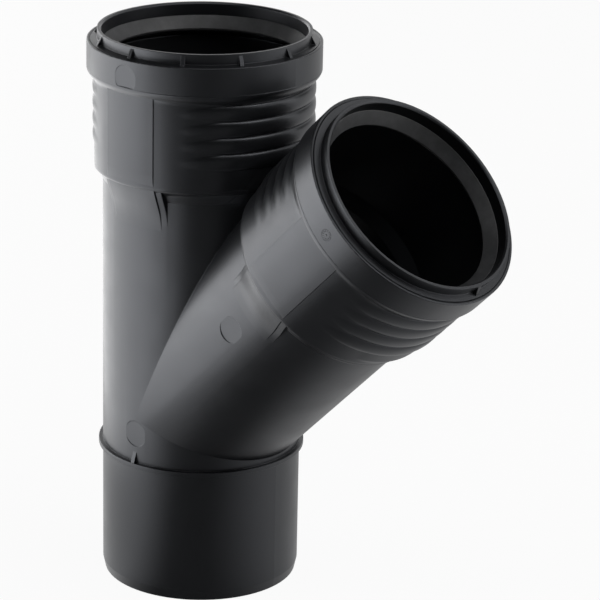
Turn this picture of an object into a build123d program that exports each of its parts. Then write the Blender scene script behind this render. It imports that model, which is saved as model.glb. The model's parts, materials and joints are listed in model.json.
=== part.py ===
"""Lateral wye fitting for a 90 mm drain pipe.

One moulding with a plain spigot below, a push-fit socket straight above it and a second push-fit
socket on a 45 degree branch. A rubber lip seal sits in the groove inside each socket.

Frame: the origin is the centre of the spigot's open end, +Z runs up the straight axis to the run
socket, and the branch leans towards +X. Heights in a socket are depths below its mouth.
"""

import os
from math import cos, radians, sin

from build123d import *

# Pipe that the fitting joins
pipe_radius = 45.0
wall = 3.1
pipe_clearance = 0.35

# Layout of the axes
branch_angle = 45.0
crossing_height = 84.0
leg_length = 171.5

# Spigot, stop ring and the mark above it
spigot_length = 61.0
spigot_lead_length = 4.5
spigot_lead_in = 1.0
ring_thickness = 2.0
ring_proud = 1.9
ring_mark_width = 2.0
ring_mark_setback = 0.2
ring_mark_height = 9.5

# Rim round each mouth, with its marks
rim_wall = 2.15
rim_lead_in = 0.25
rim_chamfer = 0.7
rim_height = 4.5
rim_mark_count = 12
rim_mark_width = 1.8
rim_mark_foot = 2.4
rim_mark_drop = 0.7

# Collar that holds the seal
collar_wall = 2.75
collar_slope = 0.6
collar_length = 12.0
collar_bevel_length = 5.3

# Seal and its groove
groove_top_depth = 5.7
groove_length = 9.0
groove_depth = 4.05
groove_bevel = 0.5
seal_gap = 0.1
seal_lip_clearance = 0.15
seal_heel_length = 4.2
seal_lip_thickness = 1.4

# Socket wall, its beads and its shoulder
run_socket_wall = 2.65
branch_socket_wall = 3.85
bead_count = 4
bead_width = 7.3
bead_slope_length = 2.2
bead_height = 1.35
shoulder_end_depth = 67.7
shoulder_slope = 2.3
pipe_stop_depth = 60.0
pipe_stop_length = 6.5

# Smooth land where the beads fade out, and the raised pad on it
land_proud = 2.0
land_shift = 4.0
land_drop_depth = 61.0
land_end_depth = 64.5
ramp_half_width = 16.1
ramp_lead = 6.0
ramp_end_depth = 79.0
pad_half_width = 13.4
pad_proud = 2.55
pad_end_depth = 81.0

# Round marks sunk into the outside
disc_radius = 6.0
disc_sink = 0.35
collar_disc_depth = 13.1
run_disc_height = 76.6
branch_disc_depth = 93.0

# Sizes that follow from those above
bore_radius = pipe_radius - wall
socket_bore_radius = pipe_radius + pipe_clearance
rim_radius = socket_bore_radius + rim_wall
groove_radius = socket_bore_radius + groove_depth
collar_radius = groove_radius + collar_wall
collar_top_depth = rim_height + collar_slope
collar_end_depth = collar_top_depth + collar_length
bead_start_depth = collar_end_depth + collar_bevel_length
ring_top = spigot_length + ring_thickness
ring_radius = pipe_radius + ring_proud
groove_end_depth = groove_top_depth + groove_length
run_height = crossing_height + leg_length
overcut = 5.0

lean = radians(branch_angle)
run_mouth = Plane(origin=(0, 0, run_height), x_dir=(1, 0, 0), z_dir=(0, 0, 1))
branch_mouth = Plane(
    origin=(leg_length * sin(lean), 0, crossing_height + leg_length * cos(lean)),
    x_dir=(cos(lean), 0, -sin(lean)),
    z_dir=(sin(lean), 0, cos(lean)),
)


def half_section(mouth: Plane) -> Plane:
    """Plane through a socket's axis: x is the radius, y is the height above the mouth."""
    return Plane(origin=mouth.origin, x_dir=mouth.x_dir, z_dir=-mouth.y_dir)


def socket_axis(mouth: Plane) -> Axis:
    """Axis of a socket, pointing out of its mouth."""
    return Axis(mouth.origin, mouth.z_dir)


def bead_points(socket_radius: float, top_depth: float) -> list[tuple[float, float]]:
    """Half section of one bead round a socket, from the valley above it to the one below."""
    crest = socket_radius + bead_height
    bottom_depth = top_depth + bead_width
    return [
        (crest, -top_depth - bead_slope_length),
        (crest, -bottom_depth + bead_slope_length),
        (socket_radius, -bottom_depth),
    ]


def leg_outside(mouth: Plane, leg_end_depth: float, socket_radius: float) -> Part:
    """Solid of one leg's outside: rim, collar, beads, socket wall, shoulder and plain tube."""
    shoulder_start_depth = shoulder_end_depth - shoulder_slope * (socket_radius - pipe_radius)
    beads = []
    for number in range(bead_count):
        beads += bead_points(socket_radius, bead_start_depth + number * bead_width)
    with BuildPart() as leg:
        with BuildSketch(half_section(mouth)):
            with BuildLine():
                Polyline(
                    (0, 0),
                    (rim_radius, 0),
                    (rim_radius, -rim_height),
                    (collar_radius, -collar_top_depth),
                    (collar_radius, -collar_end_depth),
                    (socket_radius, -bead_start_depth),
                    *beads,
                    (socket_radius, -shoulder_start_depth),
                    (pipe_radius, -shoulder_end_depth),
                    (pipe_radius, -leg_end_depth),
                    (0, -leg_end_depth),
                    close=True,
                )
            make_face()
        revolve(axis=socket_axis(mouth))
        for turn in range(rim_mark_count):
            with BuildSketch(half_section(mouth.rotated((0, 0, turn * 360 / rim_mark_count)))):
                with BuildLine():
                    Polyline(
                        (rim_radius - rim_wall / 2, -rim_mark_drop),
                        (rim_radius, -rim_mark_drop),
                        (rim_radius + rim_mark_foot, -collar_top_depth),
                        (rim_radius - rim_wall / 2, -collar_top_depth),
                        close=True,
                    )
                make_face()
            extrude(amount=rim_mark_width / 2, both=True)
    return leg.part


def leg_inside(mouth: Plane, leg_end_depth: float) -> Part:
    """Solid of one leg's hollow: lead-in, seal groove, socket bore, pipe stop and tube bore."""
    with BuildPart() as hollow:
        with BuildSketch(half_section(mouth)):
            with BuildLine():
                Polyline(
                    (0, overcut),
                    (socket_bore_radius + rim_lead_in + rim_chamfer + overcut, overcut),
                    (socket_bore_radius + rim_lead_in, -rim_chamfer),
                    (socket_bore_radius, -groove_top_depth),
                    (groove_radius, -groove_top_depth),
                    (groove_radius, -groove_end_depth),
                    (socket_bore_radius + groove_bevel, -groove_end_depth),
                    (socket_bore_radius, -groove_end_depth - groove_bevel),
                    (socket_bore_radius, -pipe_stop_depth),
                    (bore_radius, -pipe_stop_depth - pipe_stop_length),
                    (bore_radius, -leg_end_depth),
                    (0, -leg_end_depth),
                    close=True,
                )
            make_face()
        revolve(axis=socket_axis(mouth))
    return hollow.part


def land(mouth: Plane, crest: float) -> Part:
    """Smooth land over the beads on the -Y side, which sinks below them to either side."""
    with BuildPart() as body:
        with BuildSketch(mouth.offset(-land_end_depth)):
            with Locations((0, -land_shift)):
                Circle(crest - land_shift)
            with Locations((0, -crest)):
                Rectangle(2 * crest, 2 * crest, mode=Mode.INTERSECT)
        extrude(amount=land_end_depth - collar_end_depth)
        with BuildSketch(half_section(mouth)):
            with BuildLine():
                Polyline(
                    (0, -collar_end_depth),
                    (crest + overcut, -collar_end_depth),
                    (crest + overcut, -land_drop_depth),
                    (crest, -land_drop_depth),
                    (pipe_radius, -land_end_depth),
                    (0, -land_end_depth),
                    close=True,
                )
            make_face()
        revolve(axis=socket_axis(mouth), mode=Mode.INTERSECT)
    return body.part


def ramped_strip(mouth: Plane, crest: float, half_width: float, end_depth: float) -> Part:
    """Raised strip on the -Y side that runs from the collar and sweeps down into the tube."""
    with BuildPart() as strip:
        with BuildSketch(half_section(mouth)):
            with BuildLine():
                Polyline(
                    (pipe_radius, -end_depth),
                    (0, -end_depth),
                    (0, -collar_end_depth),
                    (crest, -collar_end_depth),
                    (crest, -land_drop_depth + ramp_lead),
                )
                Spline(
                    (crest, -land_drop_depth + ramp_lead),
                    (pipe_radius, -end_depth),
                    tangents=((0, -1), (0, -1)),
                )
            make_face()
        revolve(axis=socket_axis(mouth))
        with BuildSketch(mouth.offset(-end_depth)):
            with Locations((0, -crest)):
                Rectangle(2 * half_width, 2 * crest)
        extrude(amount=end_depth, mode=Mode.INTERSECT)
    return strip.part


def sunk_disc(mouth: Plane, depth: float, surface_radius: float) -> Part:
    """Cutter for one flat round mark, sunk into the side that faces -Y."""
    floor = surface_radius - disc_sink
    face = Plane(
        origin=mouth.origin - mouth.z_dir * depth - mouth.y_dir * floor,
        x_dir=mouth.x_dir,
        z_dir=-mouth.y_dir,
    )
    with BuildPart() as disc:
        with BuildSketch(face):
            Circle(disc_radius)
        extrude(amount=overcut)
    return disc.part


def lip_seal(mouth: Plane) -> Part:
    """Rubber ring in a socket's groove: a heel, and a lip pressed back as a fitted pipe holds it."""
    lip_radius = socket_bore_radius + seal_lip_clearance
    seat_radius = groove_radius - seal_gap
    heel_end_depth = groove_top_depth + seal_heel_length
    with BuildPart() as seal:
        with BuildSketch(half_section(mouth)):
            with BuildLine():
                Polyline(
                    (lip_radius, -groove_top_depth),
                    (seat_radius, -groove_top_depth),
                    (seat_radius, -heel_end_depth),
                    (lip_radius + seal_lip_thickness, -heel_end_depth),
                    (lip_radius + seal_lip_thickness, -groove_end_depth),
                    (lip_radius, -groove_end_depth),
                    close=True,
                )
            make_face()
        revolve(axis=socket_axis(mouth))
    return seal.part


def spigot_end() -> Part:
    """Ring cutter that leaves a slight cone on the spigot's end."""
    with BuildPart() as cone:
        with BuildSketch(Plane.XZ):
            with BuildLine():
                Polyline(
                    (pipe_radius - spigot_lead_in, 0),
                    (pipe_radius + overcut, 0),
                    (pipe_radius + overcut, spigot_lead_length),
                    (pipe_radius, spigot_lead_length),
                    close=True,
                )
            make_face()
        revolve(axis=Axis.Z)
    return cone.part


def stop_ring() -> Part:
    """Ring that stops the spigot in the next socket, with its small mark on the -Y side."""
    mark_root = pipe_radius - wall / 2
    mark_radius = ring_radius - ring_mark_setback
    with BuildPart() as ring:
        with BuildSketch(Plane.XY.offset(spigot_length)):
            Circle(ring_radius)
        extrude(amount=ring_thickness)
        with BuildSketch(Plane.YZ):
            with BuildLine():
                Polyline(
                    (-mark_root, spigot_length),
                    (-mark_radius, spigot_length),
                    (-mark_radius, ring_top),
                    (-mark_root, ring_top + ring_mark_height),
                    close=True,
                )
            make_face()
        extrude(amount=ring_mark_width / 2, both=True)
    return ring.part


legs = [
    (run_mouth, run_height, socket_bore_radius + run_socket_wall),
    (branch_mouth, leg_length, socket_bore_radius + branch_socket_wall),
]
outsides = [leg_outside(mouth, end, radius) for mouth, end, radius in legs]
hollows = [leg_inside(mouth, end) for mouth, end, radius in legs]
lands = [land(mouth, radius + land_proud) for mouth, end, radius in legs]
ramps = [
    ramped_strip(mouth, radius + land_proud, ramp_half_width, ramp_end_depth)
    for mouth, end, radius in legs
]
pads = [
    ramped_strip(mouth, radius + pad_proud, pad_half_width, pad_end_depth)
    for mouth, end, radius in legs
]
discs = [
    sunk_disc(run_mouth, collar_disc_depth, collar_radius),
    sunk_disc(run_mouth, run_height - run_disc_height, pipe_radius),
    sunk_disc(branch_mouth, branch_disc_depth, pipe_radius),
]
ring = stop_ring()
cone = spigot_end()

with BuildPart() as fitting_body:
    add(outsides)
    add(lands)
    add(ramps)
    add(pads)
    add(ring)
    add(hollows, mode=Mode.SUBTRACT)
    add(discs, mode=Mode.SUBTRACT)
    add(cone, mode=Mode.SUBTRACT)

with BuildPart() as run_socket_seal:
    add(lip_seal(run_mouth))

with BuildPart() as branch_socket_seal:
    add(lip_seal(branch_mouth))

pieces = {
    "fitting_body": fitting_body,
    "run_socket_seal": run_socket_seal,
    "branch_socket_seal": branch_socket_seal,
}
os.makedirs("parts", exist_ok=True)
for name, piece in pieces.items():
    piece.part.label = name
    export_step(piece.part, f"parts/{name}.step")
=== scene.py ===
"""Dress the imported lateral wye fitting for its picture.

The moulding keeps its CAD mesh and gets a satin anthracite plastic. A thin sleeve outside each
socket's wall rounds the beads, and a thin ring rounds the outer edge of its collar. Each rubber seal
is made again with its lip relaxed, as it stands before a pipe is pushed in. A small date dial of
plain marks goes on the branch socket's collar. Lengths are in metres, and depths in a socket are
below the outer side of its seal's groove.
"""

import json
import logging
from dataclasses import dataclass
from enum import Enum
from math import cos, pi, radians, sin, sqrt
from typing import Any

import bmesh
import bpy
from mathutils import Matrix, Vector


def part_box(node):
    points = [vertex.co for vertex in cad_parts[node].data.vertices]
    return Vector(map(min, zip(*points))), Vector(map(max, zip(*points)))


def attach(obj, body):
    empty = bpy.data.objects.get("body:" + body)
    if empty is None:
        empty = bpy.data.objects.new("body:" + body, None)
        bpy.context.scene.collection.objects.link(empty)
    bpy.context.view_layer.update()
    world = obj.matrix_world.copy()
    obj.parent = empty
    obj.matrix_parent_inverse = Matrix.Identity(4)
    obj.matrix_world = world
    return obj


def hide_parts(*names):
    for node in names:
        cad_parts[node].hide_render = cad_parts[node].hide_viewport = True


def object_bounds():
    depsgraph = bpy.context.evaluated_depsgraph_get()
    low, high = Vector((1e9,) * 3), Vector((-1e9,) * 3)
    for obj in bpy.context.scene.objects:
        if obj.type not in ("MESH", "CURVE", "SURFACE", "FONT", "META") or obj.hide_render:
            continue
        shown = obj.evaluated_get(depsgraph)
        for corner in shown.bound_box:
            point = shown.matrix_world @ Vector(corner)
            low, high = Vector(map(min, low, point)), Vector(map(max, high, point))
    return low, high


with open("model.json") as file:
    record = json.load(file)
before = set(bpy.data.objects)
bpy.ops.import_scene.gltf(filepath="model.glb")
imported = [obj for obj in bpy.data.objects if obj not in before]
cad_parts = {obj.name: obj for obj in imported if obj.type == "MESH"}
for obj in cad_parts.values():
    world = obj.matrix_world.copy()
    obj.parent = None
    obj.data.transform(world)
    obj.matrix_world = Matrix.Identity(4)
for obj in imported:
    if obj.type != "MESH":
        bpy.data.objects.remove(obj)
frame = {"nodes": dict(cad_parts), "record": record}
cad_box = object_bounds()

log = logging.getLogger("wye")

MM = 0.001
BODY = "root"
PICTURE_WIDTH = 600
SENSOR_WIDTH_MM = 36.0
RUN_WALL_RADIUS = 48.0 * MM
BRANCH_WALL_RADIUS = 49.2 * MM
NOISE_LOW = 0.3
NOISE_HIGH = 0.7

Section = list[tuple[float, float]]
Point = tuple[float, float, float]
Colour = tuple[float, float, float, float]

WHITE: Colour = (1.0, 1.0, 1.0, 1.0)


class Slot(Enum):
    """The record's material slots."""

    BODY = "body"
    SEAL = "seal"


class Socket(Enum):
    """The two sockets, by the names of their mounts in the record."""

    RUN = "run_socket"
    BRANCH = "branch_socket"

    @property
    def mount(self) -> dict[str, Any]:
        """The record's mount for this socket."""
        return next(m for m in frame["record"]["mounts"] if m["name"] == self.value)

    @property
    def seal_node(self) -> str:
        """Name of the CAD node of this socket's seal."""
        return f"{self.value}_seal"

    @property
    def axis(self) -> Vector:
        """Direction out of the mouth."""
        return Vector(self.mount["axis"]).normalized()

    @property
    def groove_top(self) -> Vector:
        """Point on the axis at the outer side of the seal's groove."""
        mount = self.mount
        return Vector(mount["pos_m"]) + self.axis * (mount["dims"]["length_mm"] * MM / 2)

    def placement(self, depth: float = 0.0) -> Matrix:
        """Place a piece in this socket.

        Args:
            depth: Distance below the groove's outer side.

        Returns:
            A matrix whose Z points out of the mouth and whose -Y is the side of the pads.
        """
        across = Vector((0, 1, 0))
        z = self.axis
        x = across.cross(z).normalized()
        turn = Matrix((x, across, z)).transposed().to_4x4()
        return Matrix.Translation(self.groove_top - z * depth) @ turn


class ShaderGraph:
    """The nodes of a material or a world, added and joined in short calls."""

    def __init__(self, owner: bpy.types.Material | bpy.types.World) -> None:
        """Start with no nodes.

        Args:
            owner: The material or world whose nodes these are.
        """
        self.owner = owner
        self.owner.use_nodes = True
        self.tree = self.owner.node_tree
        self.tree.nodes.clear()

    def add(self, kind: str, settings: dict[str, Any] | None = None, **sockets: Any) -> bpy.types.Node:
        """Add one node.

        Args:
            kind: The node's type, without its ShaderNode prefix.
            settings: Attributes of the node.
            sockets: Input values or output sockets, with the inputs' names in snake case.

        Returns:
            The new node.
        """
        node = self.tree.nodes.new(f"ShaderNode{kind}")
        for key, value in (settings or {}).items():
            setattr(node, key, value)
        for key, value in sockets.items():
            name = key.replace("_", " ").lower()
            socket = next(s for s in node.inputs if s.name.lower() == name and s.enabled)
            if isinstance(value, bpy.types.NodeSocket):
                self.tree.links.new(value, socket)
            else:
                socket.default_value = value
        return node

    def noise(self, scale: float, detail: float = 3.0, roughness: float = 0.5) -> bpy.types.NodeSocket:
        """Noise over the piece's own coordinates, with its scale in features per metre.

        Args:
            scale: Features per metre.
            detail: Number of finer layers.
            roughness: Strength of each finer layer against the one before.

        Returns:
            The noise, from 0 to 1.
        """
        place = self.add("TexCoord").outputs["Object"]
        node = self.add("TexNoise", vector=place, scale=scale, detail=detail, roughness=roughness)
        return node.outputs["Fac"]

    def spread(self, value: bpy.types.NodeSocket, low: float, high: float) -> bpy.types.NodeSocket:
        """Stretch the middle of a noise onto a range of values."""
        node = self.add(
            "MapRange", value=value, from_min=NOISE_LOW, from_max=NOISE_HIGH, to_min=low, to_max=high,
        )
        return node.outputs["Result"]

    def two_tone(self, factor: bpy.types.NodeSocket, *stops: tuple[float, Colour]) -> bpy.types.NodeSocket:
        """Colour between two stops, each given by its position and its colour.

        Args:
            factor: Value that runs from 0 to 1.
            stops: The lower and the upper stop.

        Returns:
            The colour.
        """
        node = self.add("ValToRGB", fac=factor)
        for element, (position, colour) in zip(node.color_ramp.elements, stops):
            element.position = position
            element.color = colour
        return node.outputs["Color"]

    def bump(self, scale: float, depth: float, detail: float = 3.0, **sockets: Any) -> bpy.types.NodeSocket:
        """Bend the normals by a noise, on top of the normal among the sockets if there is one.

        Args:
            scale: Features per metre.
            depth: Height of the noise.
            detail: Number of finer layers.
            sockets: Further inputs of the Bump node.

        Returns:
            The bent normal.
        """
        height = self.noise(scale, detail=detail)
        node = self.add("Bump", height=height, distance=depth, strength=1.0, **sockets)
        return node.outputs["Normal"]

    def math(self, operation: str, *values: Any, clamp: bool = False) -> bpy.types.NodeSocket:
        """Join numbers and output sockets by one operation.

        Args:
            operation: The Math node's operation.
            values: Its inputs in order.
            clamp: Whether the result is kept between 0 and 1.

        Returns:
            The result.
        """
        node = self.add("Math", {"operation": operation, "use_clamp": clamp})
        for index, value in enumerate(values):
            if isinstance(value, bpy.types.NodeSocket):
                self.tree.links.new(value, node.inputs[index])
            else:
                node.inputs[index].default_value = value
        return node.outputs["Value"]

    def facing(self, vector: bpy.types.NodeSocket, direction: Vector) -> bpy.types.NodeSocket:
        """Dot product of a vector and a fixed direction.

        Args:
            vector: The vector, as an output socket.
            direction: The fixed direction.

        Returns:
            The product, which is a cosine where both have length 1.
        """
        node = self.add("VectorMath", {"operation": "DOT_PRODUCT"}, vector=vector)
        node.inputs[1].default_value = direction
        return node.outputs["Value"]

    def ramp(self, value: bpy.types.NodeSocket, **ends: float) -> bpy.types.NodeSocket:
        """Go smoothly from one level to the other, from 0 to 1 unless the ends say otherwise."""
        node = self.add("MapRange", {"interpolation_type": "SMOOTHSTEP"}, value=value, **ends)
        return node.outputs["Result"]

    def seen(self, path: bpy.types.Node) -> bpy.types.NodeSocket:
        """Give 1 for what the camera sees, straight or through glass."""
        return self.math("ADD", path.outputs["Is Camera Ray"], path.outputs["Is Transmission Ray"])

    def finish(
        self, shader: bpy.types.Node, output: str = "OutputMaterial"
    ) -> bpy.types.Material | bpy.types.World:
        """Send a shader to the output and return the owner of the nodes.

        Args:
            shader: The last shader.
            output: The output node's type, without its ShaderNode prefix.

        Returns:
            The material or world.
        """
        end = self.add(output)
        self.tree.links.new(shader.outputs[0], end.inputs["Surface"])
        return self.owner


@dataclass(frozen=True)
class MouldedPlastic:
    """Satin anthracite polypropylene with the fine grain of a spark-eroded mould."""

    dark: Colour = (0.0060, 0.0063, 0.0072, 1.0)
    light: Colour = (0.0095, 0.0100, 0.0112, 1.0)
    dark_end: float = 0.35
    light_start: float = 0.65
    flow_scale: float = 22.0
    flow_detail: float = 4.0
    roughness_low: float = 0.32
    roughness_high: float = 0.38
    polish_scale: float = 70.0
    polish_detail: float = 5.0
    refraction: float = 1.65
    sheen: Colour = (0.90, 0.93, 1.0, 1.0)
    edge_radius: float = 0.45 * MM
    edge_samples: int = 6
    grain_scale: float = 2200.0
    grain_detail: float = 2.0
    grain_depth: float = 0.010 * MM
    ripple_scale: float = 38.0
    ripple_depth: float = 0.05 * MM

    def material(self) -> bpy.types.Material:
        """Build the material.

        Returns:
            The material.
        """
        graph = ShaderGraph(bpy.data.materials.new("anthracite_plastic"))
        flow = graph.noise(self.flow_scale, detail=self.flow_detail)
        colour = graph.two_tone(flow, (self.dark_end, self.dark), (self.light_start, self.light))
        polish = graph.noise(self.polish_scale, detail=self.polish_detail)
        roughness = graph.spread(polish, self.roughness_low, self.roughness_high)
        edge = graph.add("Bevel", {"samples": self.edge_samples}, radius=self.edge_radius)
        ripple = graph.bump(self.ripple_scale, self.ripple_depth, normal=edge.outputs["Normal"])
        grain = graph.bump(self.grain_scale, self.grain_depth, self.grain_detail, normal=ripple)
        shader = graph.add(
            "BsdfPrincipled", base_color=colour, roughness=roughness,
            ior=self.refraction, specular_tint=self.sheen, normal=grain,
        )
        return graph.finish(shader)


@dataclass(frozen=True)
class SealRubber:
    """Black rubber with the pale bloom that a new seal has."""

    rubber: Colour = (0.040, 0.041, 0.043, 1.0)
    bloom: Colour = (0.065, 0.066, 0.069, 1.0)
    rubber_end: float = 0.4
    bloom_start: float = 0.75
    bloom_scale: float = 160.0
    bloom_detail: float = 6.0
    bloom_roughness: float = 0.6
    roughness_low: float = 0.42
    roughness_high: float = 0.55
    polish_scale: float = 90.0
    refraction: float = 1.5
    grain_scale: float = 1600.0
    grain_detail: float = 2.0
    grain_depth: float = 0.012 * MM

    def material(self) -> bpy.types.Material:
        """Build the material.

        Returns:
            The material.
        """
        graph = ShaderGraph(bpy.data.materials.new("seal_rubber"))
        patches = graph.noise(self.bloom_scale, detail=self.bloom_detail, roughness=self.bloom_roughness)
        colour = graph.two_tone(patches, (self.rubber_end, self.rubber), (self.bloom_start, self.bloom))
        polish = graph.noise(self.polish_scale)
        roughness = graph.spread(polish, self.roughness_low, self.roughness_high)
        grain = graph.bump(self.grain_scale, self.grain_depth, self.grain_detail)
        shader = graph.add(
            "BsdfPrincipled", base_color=colour, roughness=roughness, ior=self.refraction, normal=grain,
        )
        return graph.finish(shader)


def rounded(section: Section, radius: float, steps: int = 4) -> Section:
    """Round every corner of a closed section.

    Args:
        section: The corners in order.
        radius: Distance from a corner at which its curve starts, at most a third of either side.
        steps: Number of spans in each curve.

    Returns:
        The section's points with curves in place of its corners.
    """
    points: Section = []
    count = len(section)
    for index, corner in enumerate(section):
        here = Vector(corner)
        before = Vector(section[index - 1]) - here
        after = Vector(section[(index + 1) % count]) - here
        start = here + before.normalized() * min(radius, before.length / 3)
        end = here + after.normalized() * min(radius, after.length / 3)
        for step in range(steps + 1):
            t = step / steps
            point = start * (1 - t) ** 2 + here * (2 * t * (1 - t)) + end * t**2
            points.append((point.x, point.y))
    return points


def add_object(name: str, mesh: bpy.types.Mesh, material: bpy.types.Material) -> bpy.types.Object:
    """Make an object at the origin from a mesh, with one material.

    Args:
        name: The object's name.
        mesh: Its mesh, with its place in it.
        material: Its only material.

    Returns:
        The object.
    """
    mesh.materials.clear()
    mesh.materials.append(material)
    piece = bpy.data.objects.new(name, mesh)
    bpy.context.scene.collection.objects.link(piece)
    return piece


def around(section: Section, angle: float) -> list[Point]:
    """Place a section's points at an angle from the pads' side."""
    return [(radius * sin(angle), -radius * cos(angle), -depth) for radius, depth in section]


def closed_ring(name: str, columns: list[list[Point]], flat_rows: int, place: Matrix) -> bpy.types.Mesh:
    """Join a section's points at many angles into a closed ring.

    Args:
        name: The mesh's name.
        columns: The points of the closed section at each angle, in order round the axis.
        flat_rows: Number of rows at the section's end that are not shaded smooth.
        place: Where the ring goes.

    Returns:
        The ring's mesh, in its place.
    """
    shell = bmesh.new()
    rings = [[shell.verts.new(point) for point in column] for column in columns]
    for index, column in enumerate(rings):
        following = rings[(index + 1) % len(rings)]
        count = len(column)
        for row in range(count):
            other = (row + 1) % count
            face = shell.faces.new((column[row], column[other], following[other], following[row]))
            face.smooth = row < count - flat_rows
    bmesh.ops.recalc_face_normals(shell, faces=shell.faces)
    mesh = bpy.data.meshes.new(name)
    shell.to_mesh(mesh)
    shell.free()
    mesh.transform(place)
    return mesh


@dataclass
class LipSeal:
    """One socket's rubber seal with its lip relaxed.

    The section is given by radii and by depths. The tip's lean, width and slant are shares of its
    thickness. The hinge is where the lip leaves the heel, with its start as a share of the heel's
    length and its lean as a share of the root's thickness.
    """

    socket: Socket
    finish: bpy.types.Material
    heel_inner_radius: float = 45.2 * MM
    heel_length: float = 4.2 * MM
    tip_radius: float = 41.1 * MM
    tip_depth: float = 5.3 * MM
    tip_thickness: float = 1.0 * MM
    tip_lean: float = 0.4
    tip_width: float = 1.3
    tip_slant: float = 0.8
    root_thickness: float = 1.5 * MM
    hinge_start: float = 0.75
    hinge_lean: float = 0.4
    corner_radius: float = 0.35 * MM
    wave: float = 0.07 * MM
    wave_count: int = 5
    segments: int = 192

    @property
    def seat_radius(self) -> float:
        """Outer radius of the CAD seal, which fills the groove."""
        low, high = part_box(self.socket.seal_node)
        return (high.y - low.y) / 2

    def section(self) -> Section:
        """Closed half section of the seal, as radius and depth.

        Returns:
            The section's points, with rounded corners.
        """
        root = self.heel_inner_radius + self.root_thickness
        tip = self.tip_thickness
        corners = [
            (self.seat_radius, 0.0),
            (self.heel_inner_radius, 0.0),
            (self.tip_radius, self.tip_depth),
            (self.tip_radius + tip * self.tip_lean, self.tip_depth + tip),
            (self.tip_radius + tip * self.tip_width, self.tip_depth + tip * self.tip_slant),
            (root, self.heel_length * self.hinge_start),
            (root + self.root_thickness * self.hinge_lean, self.heel_length),
            (self.seat_radius, self.heel_length),
        ]
        return rounded(corners, self.corner_radius)

    def column(self, section: Section, angle: float) -> list[Point]:
        """Place the section's points at one angle, with the lip moved by its wave.

        Args:
            section: Points as radius and depth.
            angle: Angle round the socket's axis, in radians.

        Returns:
            The points.
        """
        sway = self.wave * sin(self.wave_count * angle)
        lip_reach = self.heel_inner_radius - self.tip_radius
        points = []
        for radius, depth in section:
            share = max(0.0, (self.heel_inner_radius - radius) / lip_reach)
            reach = radius + sway * share
            points.append((reach * cos(angle), reach * sin(angle), -depth))
        return points

    def mesh(self) -> bpy.types.Mesh:
        """Turn the section round the socket's axis into a closed ring.

        Returns:
            The ring's mesh, in place on the socket.
        """
        section = self.section()
        angles = [2 * pi * segment / self.segments for segment in range(self.segments)]
        columns = [self.column(section, angle) for angle in angles]
        return closed_ring(f"{self.socket.value}_lip_seal", columns, 0, self.socket.placement())

    def build(self) -> bpy.types.Object:
        """Make the seal's piece and put it in place of its CAD node.

        Returns:
            The piece.
        """
        piece = add_object(f"{self.socket.value}_lip_seal", self.mesh(), self.finish)
        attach(piece, BODY)
        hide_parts(self.socket.seal_node)
        return piece


def eased(value: float, low: float, high: float) -> float:
    """Rise smoothly from 0 at low to 1 at high."""
    share = min(1.0, max(0.0, (value - low) / (high - low)))
    return share * share * (3 - 2 * share)


def blended_top(first: float, second: float, blend: float) -> float:
    """Take the larger of two lengths, with a soft change from one to the other."""
    return (first + second + sqrt((first - second) ** 2 + blend**2)) / 2


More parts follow.
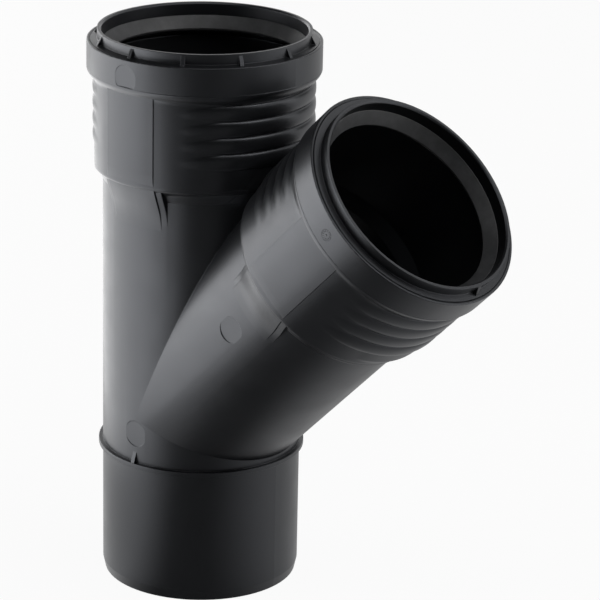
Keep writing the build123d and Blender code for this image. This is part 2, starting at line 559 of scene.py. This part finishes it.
@dataclass
class SocketSleeve:
    """Outer skin of one socket's wall, with the rounded beads that run into the smooth land.

    It lies a hair outside the moulding's wall. The two crotch angles are in radians, from the side on
    which the legs meet. The sleeve's lower edge goes from the last bead's end at the inner one to the
    shoulder's end at the outer one.
    """

    socket: Socket
    finish: bpy.types.Material
    wall_radius: float
    collar_radius: float = 52.15 * MM
    tube_radius: float = 45.0 * MM
    first_depth: float = 11.0 * MM
    collar_end_depth: float = 11.4 * MM
    bead_depth: float = 16.7 * MM
    bead_count: int = 4
    bead_width: float = 7.3 * MM
    bead_height: float = 1.46 * MM
    bead_power: float = 2.3
    bead_rows: int = 16
    collar_rows: int = 10
    shoulder_rows: int = 24
    flat_rows: int = 5
    land_proud: float = 2.0 * MM
    land_shift: float = 4.0 * MM
    ramp_half_width: float = 16.1 * MM
    ramp_fade: float = 9.0 * MM
    ramp_rise: float = 0.24 * MM
    land_drop_depth: float = 55.1 * MM
    land_drop_length: float = 5.2 * MM
    shoulder_end_depth: float = 62.0 * MM
    shoulder_slope: float = 2.3
    cover: float = 0.03 * MM
    blend: float = 0.05 * MM
    collar_blend: float = 0.5 * MM
    edge_sink: float = 0.5 * MM
    edge_length: float = 0.4 * MM
    crotch_inner: float = 0.27
    crotch_outer: float = 0.67
    back_depth: float = 0.9 * MM
    segments: int = 480

    @property
    def beads_end(self) -> float:
        """Depth at which the last bead ends."""
        return self.bead_depth + self.bead_count * self.bead_width

    def collar_reach(self, depth: float) -> float:
        """Radius of the rounded end of the collar.

        Args:
            depth: Depth below the groove's outer side.

        Returns:
            The radius, or 0 past the collar's end.
        """
        share = (depth - self.collar_end_depth) / (self.bead_depth - self.collar_end_depth)
        if share >= 1:
            return 0.0
        fall = 1 - cos(pi / 2 * max(0.0, share))
        return self.collar_radius - (self.collar_radius - self.wall_radius) * fall

    def wall_reach(self, depth: float) -> float:
        """Radius of the wall with its beads and its long shoulder.

        Args:
            depth: Depth below the groove's outer side.

        Returns:
            The radius.
        """
        place = (depth - self.bead_depth) / self.bead_width
        if 0 < place < self.bead_count:
            across = abs(2 * (place % 1.0) - 1)
            swell = max(0.0, 1 - across**self.bead_power) ** (1 / self.bead_power)
            return self.wall_radius + self.bead_height * swell
        shoulder = self.tube_radius + (self.shoulder_end_depth - depth) / self.shoulder_slope
        return min(self.wall_radius, max(self.tube_radius, shoulder))

    def land_reach(self, angle: float, depth: float) -> float:
        """Radius of the smooth land at an angle from the pads' side.

        Args:
            angle: Angle from the pads' side, in radians.
            depth: Depth below the groove's outer side.

        Returns:
            The radius, or 0 on the far side, where there is no land.
        """
        if abs(angle) > pi / 2:
            return 0.0
        radius = self.wall_radius + self.land_proud - self.land_shift
        aside = self.land_shift * sin(angle)
        land = self.land_shift * cos(angle) + sqrt(radius**2 - aside**2)
        offset = abs(land * sin(angle))
        beside = 1 - eased(offset, self.ramp_half_width, self.ramp_half_width + self.ramp_fade)
        land += self.ramp_rise * beside
        drop = eased(depth, self.land_drop_depth, self.land_drop_depth + self.land_drop_length)
        return land + (self.tube_radius - land) * drop

    def reach(self, angle: float, depth: float) -> float:
        """Radius of the sleeve at an angle from the pads' side and a depth.

        Args:
            angle: Angle from the pads' side, in radians.
            depth: Depth below the groove's outer side.

        Returns:
            The radius.
        """
        land = self.land_reach(angle, depth)
        plain = blended_top(self.wall_reach(depth), land, self.blend)
        top = self.collar_reach(depth)
        if top <= 0:
            return self.cover + plain
        return min(self.collar_radius - self.cover, blended_top(top, plain, self.collar_blend))

    def last_depth(self, angle: float) -> float:
        """Depth of the sleeve's lower edge, which is higher up where the two legs meet.

        Args:
            angle: Angle from the pads' side, in radians.

        Returns:
            The depth.
        """
        crotch = pi / 2 if self.socket is Socket.RUN else -pi / 2
        apart = abs((angle - crotch + pi) % (2 * pi) - pi)
        clear = eased(apart, self.crotch_inner, self.crotch_outer)
        return self.beads_end + (self.shoulder_end_depth - self.beads_end) * clear

    def rows(self) -> list[float]:
        """Depths of the rows down to the last bead, close together in the notches.

        Returns:
            The depths in order.
        """
        fall = self.bead_depth - self.collar_end_depth
        depths = []
        for row in range(self.collar_rows + 1):
            depths.append(self.collar_end_depth + fall * row / self.collar_rows)
        for bead in range(self.bead_count):
            top = self.bead_depth + bead * self.bead_width
            for row in range(1, self.bead_rows + 1):
                depths.append(top + self.bead_width * (1 - cos(pi * row / self.bead_rows)) / 2)
        return depths

    def column(self, angle: float) -> Section:
        """Points of the sleeve at one angle, as radius and depth, round the closed section.

        Args:
            angle: Angle from the pads' side, in radians.

        Returns:
            The section's points in order.
        """
        last = self.last_depth(angle)
        sunk = self.collar_radius - self.edge_sink
        points = [(sunk, self.first_depth)]
        points += [(self.reach(angle, depth), depth) for depth in self.rows()]
        for step in range(1, self.shoulder_rows + 1):
            depth = self.beads_end + (last - self.beads_end) * step / self.shoulder_rows
            points.append((self.reach(angle, depth), depth))
        foot = last + self.edge_length
        back = self.wall_radius - self.back_depth
        points.append((points[-1][0] - self.edge_sink, foot))
        points.append((min(back, points[-1][0] - self.cover), foot))
        points.append((back, self.beads_end))
        points.append((back, self.first_depth))
        return points

    def mesh(self) -> bpy.types.Mesh:
        """Make the closed skin, in place on the socket.

        Returns:
            The skin's mesh.
        """
        angles = [2 * pi * segment / self.segments - pi for segment in range(self.segments)]
        columns = [around(self.column(angle), angle) for angle in angles]
        return closed_ring(f"{self.socket.value}_sleeve", columns, self.flat_rows, self.socket.placement())

    def build(self) -> bpy.types.Object:
        """Make the sleeve's piece.

        Returns:
            The piece.
        """
        piece = add_object(f"{self.socket.value}_sleeve", self.mesh(), self.finish)
        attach(piece, BODY)
        return piece


@dataclass
class CollarEdge:
    """Rounded outer edge on the top face of one socket's collar.

    The edge stands above the groove's outer side, so its depths are negative.
    """

    socket: Socket
    finish: bpy.types.Material
    inner_radius: float = 50.40 * MM
    inner_depth: float = -0.80 * MM
    crest_radius: float = 51.45 * MM
    crest_depth: float = -0.93 * MM
    outer_radius: float = 52.12 * MM
    outer_depth: float = -0.60 * MM
    foot_depth: float = -0.30 * MM
    round_steps: int = 8
    segments: int = 240
    flat_rows: int = 3

    def section(self) -> Section:
        """Closed half section, as radius and depth, from the top face over the edge to the foot.

        Returns:
            The section's points in order.
        """
        points = [(self.inner_radius, self.inner_depth)]
        for step in range(self.round_steps + 1):
            turn = pi / 2 * step / self.round_steps
            radius = self.crest_radius + (self.outer_radius - self.crest_radius) * sin(turn)
            points.append((radius, self.outer_depth + (self.crest_depth - self.outer_depth) * cos(turn)))
        points.append((self.outer_radius, self.foot_depth))
        points.append((self.inner_radius, self.foot_depth))
        return points

    def mesh(self) -> bpy.types.Mesh:
        """Turn the section round the socket's axis into a closed ring.

        Returns:
            The ring's mesh, in place on the socket.
        """
        section = self.section()
        angles = [2 * pi * segment / self.segments for segment in range(self.segments)]
        columns = [around(section, angle) for angle in angles]
        name = f"{self.socket.value}_collar_edge"
        return closed_ring(name, columns, self.flat_rows, self.socket.placement())

    def build(self) -> bpy.types.Object:
        """Make the edge's piece.

        Returns:
            The piece.
        """
        piece = add_object(f"{self.socket.value}_collar_edge", self.mesh(), self.finish)
        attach(piece, BODY)
        return piece


@dataclass
class DateDial:
    """Small moulded dial of plain marks on the branch socket's collar."""

    finish: bpy.types.Material
    collar_radius: float = 52.05 * MM
    depth: float = 6.0 * MM
    ring_radius: float = 2.5 * MM
    ring_width: float = 0.12 * MM
    mark_count: int = 12
    mark_length: float = 0.7 * MM
    mark_width: float = 0.22 * MM
    mark_height: float = 0.3 * MM
    hub_radius: float = 0.55 * MM
    hub_taper: float = 0.7
    hub_height_share: float = 0.5
    ring_steps: int = 48
    ring_sides: int = 8
    hub_sides: int = 24

    def tree(self) -> bpy.types.NodeTree:
        """Build the Geometry Nodes tree of the ring, its marks and the hub.

        Returns:
            The tree, with named inputs.
        """
        tree = bpy.data.node_groups.new("date_dial", "GeometryNodeTree")
        sockets = tree.interface
        sockets.new_socket("Marks", in_out="INPUT", socket_type="NodeSocketInt")
        for name in ("Ring Radius", "Ring Width", "Mark Length", "Mark Width", "Mark Height", "Hub Radius"):
            sockets.new_socket(name, in_out="INPUT", socket_type="NodeSocketFloat")
        sockets.new_socket("Finish", in_out="INPUT", socket_type="NodeSocketMaterial")
        sockets.new_socket("Geometry", in_out="OUTPUT", socket_type="NodeSocketGeometry")
        nodes = tree.nodes
        link = tree.links.new
        given = nodes.new("NodeGroupInput").outputs
        result = nodes.new("NodeGroupOutput").inputs

        def scaled(value: bpy.types.NodeSocket, factor: float) -> bpy.types.NodeSocket:
            """Multiply a value by a fixed factor.

            Args:
                value: The value, as an output socket.
                factor: The factor.

            Returns:
                The product.
            """
            node = nodes.new("ShaderNodeMath")
            node.operation = "MULTIPLY"
            node.inputs[1].default_value = factor
            link(value, node.inputs[0])
            return node.outputs["Value"]

        path = nodes.new("GeometryNodeCurvePrimitiveCircle")
        path.inputs["Resolution"].default_value = self.ring_steps
        link(given["Ring Radius"], path.inputs["Radius"])
        outline = nodes.new("GeometryNodeCurvePrimitiveCircle")
        outline.inputs["Resolution"].default_value = self.ring_sides
        link(given["Ring Width"], outline.inputs["Radius"])
        ring = nodes.new("GeometryNodeCurveToMesh")
        link(path.outputs["Curve"], ring.inputs["Curve"])
        link(outline.outputs["Curve"], ring.inputs["Profile Curve"])

        inset = nodes.new("ShaderNodeMath")
        inset.operation = "SUBTRACT"
        link(given["Ring Radius"], inset.inputs[0])
        link(given["Mark Length"], inset.inputs[1])
        places = nodes.new("GeometryNodeMeshCircle")
        link(given["Marks"], places.inputs["Vertices"])
        link(inset.outputs["Value"], places.inputs["Radius"])
        size = nodes.new("ShaderNodeCombineXYZ")
        link(given["Mark Length"], size.inputs["X"])
        link(given["Mark Width"], size.inputs["Y"])
        link(given["Mark Height"], size.inputs["Z"])
        mark = nodes.new("GeometryNodeMeshCube")
        link(size.outputs["Vector"], mark.inputs["Size"])
        outwards = nodes.new("GeometryNodeInputPosition")
        turn = nodes.new("FunctionNodeAlignRotationToVector")
        turn.axis = "X"
        link(outwards.outputs["Position"], turn.inputs["Vector"])
        marks = nodes.new("GeometryNodeInstanceOnPoints")
        link(places.outputs["Mesh"], marks.inputs["Points"])
        link(mark.outputs["Mesh"], marks.inputs["Instance"])
        link(turn.outputs["Rotation"], marks.inputs["Rotation"])

        hub = nodes.new("GeometryNodeMeshCone")
        hub.inputs["Vertices"].default_value = self.hub_sides
        link(scaled(given["Hub Radius"], self.hub_taper), hub.inputs["Radius Top"])
        link(given["Hub Radius"], hub.inputs["Radius Bottom"])
        link(scaled(given["Mark Height"], self.hub_height_share), hub.inputs["Depth"])

        everything = nodes.new("GeometryNodeJoinGeometry")
        for part in (hub.outputs["Mesh"], marks.outputs["Instances"], ring.outputs["Mesh"]):
            link(part, everything.inputs["Geometry"])
        realized = nodes.new("GeometryNodeRealizeInstances")
        link(everything.outputs["Geometry"], realized.inputs["Geometry"])
        dressed = nodes.new("GeometryNodeSetMaterial")
        link(realized.outputs["Geometry"], dressed.inputs["Geometry"])
        link(given["Finish"], dressed.inputs["Material"])
        link(dressed.outputs["Geometry"], result["Geometry"])
        return tree

    def mesh(self) -> bpy.types.Mesh:
        """Run the tree and return its plain mesh, in place on the collar.

        Returns:
            The dial's mesh.
        """
        values = {
            "Marks": self.mark_count,
            "Ring Radius": self.ring_radius,
            "Ring Width": self.ring_width,
            "Mark Length": self.mark_length,
            "Mark Width": self.mark_width,
            "Mark Height": self.mark_height,
            "Hub Radius": self.hub_radius,
            "Finish": self.finish,
        }
        carrier = bpy.data.objects.new("dial_carrier", bpy.data.meshes.new("dial_carrier"))
        bpy.context.scene.collection.objects.link(carrier)
        modifier = carrier.modifiers.new("dial", "NODES")
        modifier.node_group = self.tree()
        for item in modifier.node_group.interface.items_tree:
            if item.in_out == "INPUT":
                modifier[item.identifier] = values[item.name]
        graph = bpy.context.evaluated_depsgraph_get()
        mesh = bpy.data.meshes.new_from_object(carrier.evaluated_get(graph))
        bpy.data.objects.remove(carrier)
        seat = Matrix.Translation((0, -self.collar_radius, 0)) @ Matrix.Rotation(pi / 2, 4, "X")
        mesh.transform(Socket.BRANCH.placement(self.depth) @ seat)
        return mesh

    def build(self) -> bpy.types.Object:
        """Make the dial's piece.

        Returns:
            The piece.
        """
        piece = add_object("collar_date_dial", self.mesh(), self.finish)
        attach(piece, BODY)
        return piece


@dataclass
class FittingBody:
    """The moulding, which keeps its CAD mesh."""

    finish: bpy.types.Material
    node: str = "fitting_body"

    def build(self) -> bpy.types.Object:
        """Give the CAD node its plastic.

        Returns:
            The node.
        """
        piece = frame["nodes"][self.node]
        for slot in piece.material_slots:
            slot.link = "OBJECT"
            slot.material = self.finish
        return piece


def turned(first: Vector, second: Vector, angle_deg: float) -> tuple[Vector, Vector]:
    """Turn two square directions in their plane, the first one towards the second."""
    angle = radians(angle_deg)
    return first * cos(angle) + second * sin(angle), second * cos(angle) - first * sin(angle)


@dataclass(frozen=True)
class PhotoCamera:
    """The photograph's viewpoint, turned from the pads' side towards the branch.

    The distance is level, from the run's axis. The focal length is in the photograph's pixels.
    """

    azimuth_deg: float = 41.2
    distance: float = 1.3593
    height: float = 0.6026
    pitch_deg: float = 19.2
    yaw_deg: float = 1.86
    roll_deg: float = 1.16
    focal_px: float = 3179.2

    @property
    def away(self) -> Vector:
        """Level direction from the run's axis to the camera."""
        azimuth = radians(self.azimuth_deg)
        return Vector((sin(azimuth), -cos(azimuth), 0))

    def build(self) -> bpy.types.Object:
        """Make the camera and use it for the scene.

        Returns:
            The camera's object.
        """
        azimuth = radians(self.azimuth_deg)
        right = Vector((cos(azimuth), sin(azimuth), 0))
        forward = -self.away
        up = Vector((0, 0, 1))
        forward, right = turned(forward, right, self.yaw_deg)
        up, forward = turned(up, forward, self.pitch_deg)
        right, up = turned(right, up, self.roll_deg)
        data = bpy.data.cameras.new("photo_camera")
        data.sensor_width = SENSOR_WIDTH_MM
        data.lens = SENSOR_WIDTH_MM * self.focal_px / PICTURE_WIDTH
        camera = bpy.data.objects.new("photo_camera", data)
        place = self.away * self.distance + Vector((0, 0, self.height))
        view = Matrix((right, up, -forward)).transposed().to_4x4()
        camera.matrix_world = Matrix.Translation(place) @ view
        bpy.context.scene.collection.objects.link(camera)
        bpy.context.scene.camera = camera
        return camera


def add_lamp(name: str, size: tuple[float, float], radiance: float, place: Matrix) -> bpy.types.Object:
    """Make a rectangular lamp of one radiance, which the camera doesn't see.

    Args:
        name: The lamp's name.
        size: Its width and height.
        radiance: Its brightness, the same for any size.
        place: Its place and direction.

    Returns:
        The lamp's object.
    """
    width, height = size
    data = bpy.data.lights.new(name, "AREA")
    data.shape = "RECTANGLE"
    data.size = width
    data.size_y = height
    data.energy = radiance * pi * width * height
    lamp = bpy.data.objects.new(name, data)
    lamp.matrix_world = place
    lamp.visible_camera = False
    bpy.context.scene.collection.objects.link(lamp)
    return lamp


@dataclass(frozen=True)
class SoftBox:
    """One soft lamp that points at the fitting.

    side_deg turns it away from the camera, positive to the right, and lift_deg raises it.
    """

    name: str
    side_deg: float
    lift_deg: float
    distance: float
    width: float
    height: float
    radiance: float

    def build(self, camera: PhotoCamera, target: Vector) -> bpy.types.Object:
        """Make the lamp.

        Args:
            camera: The viewpoint from which side_deg is counted, positive to the right.
            target: The point that the lamp faces.

        Returns:
            The lamp's object.
        """
        turn = radians(camera.azimuth_deg + self.side_deg)
        lift = radians(self.lift_deg)
        outwards = Vector((sin(turn) * cos(lift), -cos(turn) * cos(lift), sin(lift)))
        place = Matrix.Translation(target + outwards * self.distance)
        facing = outwards.to_track_quat("Z", "Y").to_matrix().to_4x4()
        return add_lamp(self.name, (self.width, self.height), self.radiance, place @ facing)


@dataclass(frozen=True)
class LowPanel:
    """One soft panel that lies over the floor and shines up."""

    name: str
    side_deg: float
    distance: float
    width: float
    depth: float
    rise: float
    radiance: float

    def build(self, camera: PhotoCamera) -> bpy.types.Object:
        """Make the panel, with side_deg counted from the camera, positive to the right.

        Args:
            camera: The viewpoint from which side_deg is counted.

        Returns:
            The lamp's object.
        """
        turn = radians(camera.azimuth_deg + self.side_deg)
        place = Vector((sin(turn) * self.distance, -cos(turn) * self.distance, self.rise))
        facing = Matrix.Rotation(turn, 4, "Z") @ Matrix.Rotation(pi, 4, "X")
        size = (self.width, self.depth)
        return add_lamp(self.name, size, self.radiance, Matrix.Translation(place) @ facing)


@dataclass(frozen=True)
class FloorSide:
    """How bright the floor is in a reflection towards one side.

    It goes from dim to bright as the cosine of the angle from side_deg goes from low to high.
    """

    side_deg: float
    low: float
    high: float
    dim: float
    bright: float


@dataclass(frozen=True)
class Studio:
    """White floor and backdrop with soft boxes at both sides and above."""

    camera: PhotoCamera
    floor_size: float = 8.0
    floor_white: float = 0.8
    floor_glow: float = 0.94
    floor_sides: tuple[FloorSide, ...] = (
        FloorSide(-120.0, -0.1, 0.75, 0.0, 1.0),
        FloorSide(110.0, -0.3, 1.0, 0.10, 0.65),
    )
    panel: LowPanel = LowPanel("left_panel", -98.0, 0.56, 1.2, 0.84, 0.02, 1.5)
    room_level: float = 0.01
    backdrop_start: float = 0.8
    backdrop_full: float = 0.99
    boxes: tuple[SoftBox, ...] = (
        SoftBox("left_box", -94.0, 8.0, 1.15, 1.5, 0.6, 3.0),
        SoftBox("rear_left_box", -152.0, 10.0, 1.3, 0.7, 0.8, 2.2),
        SoftBox("right_box", 80.0, 10.0, 1.3, 1.2, 0.7, 1.5),
        SoftBox("rear_right_box", 150.0, 20.0, 1.3, 0.9, 0.9, 0.5),
        SoftBox("upper_right_box", 120.0, 40.0, 1.4, 1.0, 0.9, 0.7),
        SoftBox("top_box", 10.0, 72.0, 1.4, 1.2, 1.1, 1.0),
        SoftBox("rim_box", 66.0, 47.0, 1.4, 0.8, 0.6, 2.6),
    )

    def mirrored_white(self, graph: ShaderGraph) -> bpy.types.NodeSocket:
        """Give the floor's white in a reflection: full at the rear left and dim in front.

        Args:
            graph: The nodes of the floor's material.

        Returns:
            The white, from 0 to 1.
        """
        place = graph.add("TexCoord").outputs["Object"]
        outwards = graph.add("VectorMath", {"operation": "NORMALIZE"}, vector=place)
        levels = []
        for side in self.floor_sides:
            turn = radians(self.camera.azimuth_deg + side.side_deg)
            facing = graph.facing(outwards.outputs["Vector"], Vector((sin(turn), -cos(turn), 0.0)))
            levels.append(graph.ramp(
                facing, from_min=side.low, from_max=side.high, to_min=side.dim, to_max=side.bright,
            ))
        total = levels[0]
        for level in levels[1:]:
            total = graph.math("ADD", total, level, clamp=True)
        return total

    def floor(self) -> bpy.types.Object:
        """Make the floor, which keeps the fitting's shadow and glows white for the camera.

        Returns:
            The floor's object.
        """
        graph = ShaderGraph(bpy.data.materials.new("studio_floor"))
        link = graph.tree.links.new
        lit = graph.add("BsdfDiffuse", color=(self.floor_white, self.floor_white, self.floor_white, 1.0))
        path = graph.add("LightPath")
        mirrored = path.outputs["Is Glossy Ray"]
        level = graph.add("Mix", {"data_type": "FLOAT"}, factor=mirrored)
        level.inputs[2].default_value = 1.0
        link(self.mirrored_white(graph), level.inputs[3])
        glow = graph.add("Emission", color=WHITE, strength=level.outputs[0])
        share = graph.math("MULTIPLY_ADD", graph.seen(path), self.floor_glow, mirrored)
        mixed = graph.add("MixShader", fac=share)
        link(lit.outputs[0], mixed.inputs[1])
        link(glow.outputs[0], mixed.inputs[2])
        material = graph.finish(mixed)

        half = self.floor_size / 2
        corners = [(-half, -half, 0), (half, -half, 0), (half, half, 0), (-half, half, 0)]
        mesh = bpy.data.meshes.new("studio_floor")
        mesh.from_pydata(corners, [], [(0, 1, 2, 3)])
        floor = add_object("studio_floor", mesh, material)
        return floor

    def world(self) -> bpy.types.World:
        """Make a world that the camera sees as white.

        A reflection finds white only far behind the fitting, and a dim room elsewhere.

        Returns:
            The world.
        """
        graph = ShaderGraph(bpy.data.worlds.new("studio"))
        link = graph.tree.links.new
        white = graph.add("Background", color=WHITE)
        room = graph.add("Background", strength=self.room_level)
        direction = graph.add("TexCoord").outputs["Generated"]
        behind = graph.facing(direction, -self.camera.away)
        backdrop = graph.ramp(behind, from_min=self.backdrop_start, from_max=self.backdrop_full)
        path = graph.add("LightPath")
        mirrored = graph.math("MULTIPLY", path.outputs["Is Glossy Ray"], backdrop)
        share = graph.math("ADD", graph.seen(path), mirrored, clamp=True)
        mixed = graph.add("MixShader", fac=share)
        link(room.outputs[0], mixed.inputs[1])
        link(white.outputs[0], mixed.inputs[2])
        world = graph.finish(mixed, "OutputWorld")
        bpy.context.scene.world = world
        return world

    def build(self) -> None:
        """Make the floor, the world and the lamps."""
        self.floor()
        self.world()
        low, high = cad_box
        target = (low + high) / 2
        for box in self.boxes:
            box.build(self.camera, target)
        self.panel.build(self.camera)


def main() -> None:
    """Build every piece in order and report it."""
    logging.basicConfig(level=logging.INFO, format="%(message)s")
    bpy.context.scene.view_settings.view_transform = "Standard"
    plastic = MouldedPlastic().material()
    rubber = SealRubber().material()
    camera = PhotoCamera()
    camera.build()
    Studio(camera).build()
    makers = [
        FittingBody(plastic),
        SocketSleeve(Socket.RUN, plastic, RUN_WALL_RADIUS),
        SocketSleeve(Socket.BRANCH, plastic, BRANCH_WALL_RADIUS),
        CollarEdge(Socket.RUN, plastic),
        CollarEdge(Socket.BRANCH, plastic),
        LipSeal(Socket.RUN, rubber),
        LipSeal(Socket.BRANCH, rubber),
        DateDial(plastic),
    ]
    for maker in makers:
        piece = maker.build()
        log.info("%s: %d faces", piece.name, len(piece.data.polygons))


if __name__ == "__main__":
    main()
